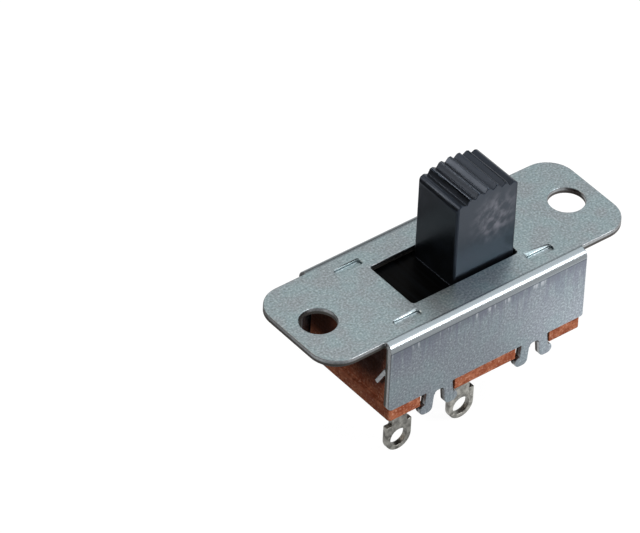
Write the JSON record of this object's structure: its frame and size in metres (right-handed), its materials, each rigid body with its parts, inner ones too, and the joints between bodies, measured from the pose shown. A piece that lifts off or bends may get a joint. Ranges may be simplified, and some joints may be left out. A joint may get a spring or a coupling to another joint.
{
  "type": "slide switch",
  "caption": "Panel-mounted slide switch: folded steel frame with two ears, ridged black knob in a slot, moulded base and solder lugs.",
  "frame": {"origin": "centre of the mounting plate's top face, midway between the two mounting holes", "axes": "+X along the slide and the row of mounting holes, +Z out through the panel, away from the terminals"},
  "size_m": [0.0348, 0.0132, 0.0253],
  "materials": {
    "plated_steel": "bright zinc plate, slightly blue-green",
    "phenolic": "moulded phenolic, satin, red-brown",
    "black_plastic": "moulded, semi-gloss",
    "tinned_brass": "tinned, satin",
    "silver": "silver alloy, polished",
    "copper_alloy": "rolled strip",
    "spring_steel": "drawn wire and polished ball"
  },
  "bodies": {
    "housing": {"mounting_frame": "plated_steel", "base_housing": "phenolic", "terminal_left": "tinned_brass", "terminal_centre": "tinned_brass", "contact_rivet_left": "silver", "contact_rivet_centre": "silver"},
    "slider": {"slider_knob": "black_plastic", "bridge_contact": "copper_alloy", "contact_spring_left": "spring_steel", "contact_spring_right": "spring_steel", "detent_ball": "spring_steel", "detent_spring": "spring_steel"}
  },
  "joints": [
    {"name": "knob_slide", "type": "slide", "parent": "housing", "child": "slider", "axis": [1, 0, 0], "range_m": [-0.0046, 0]}
  ]
}
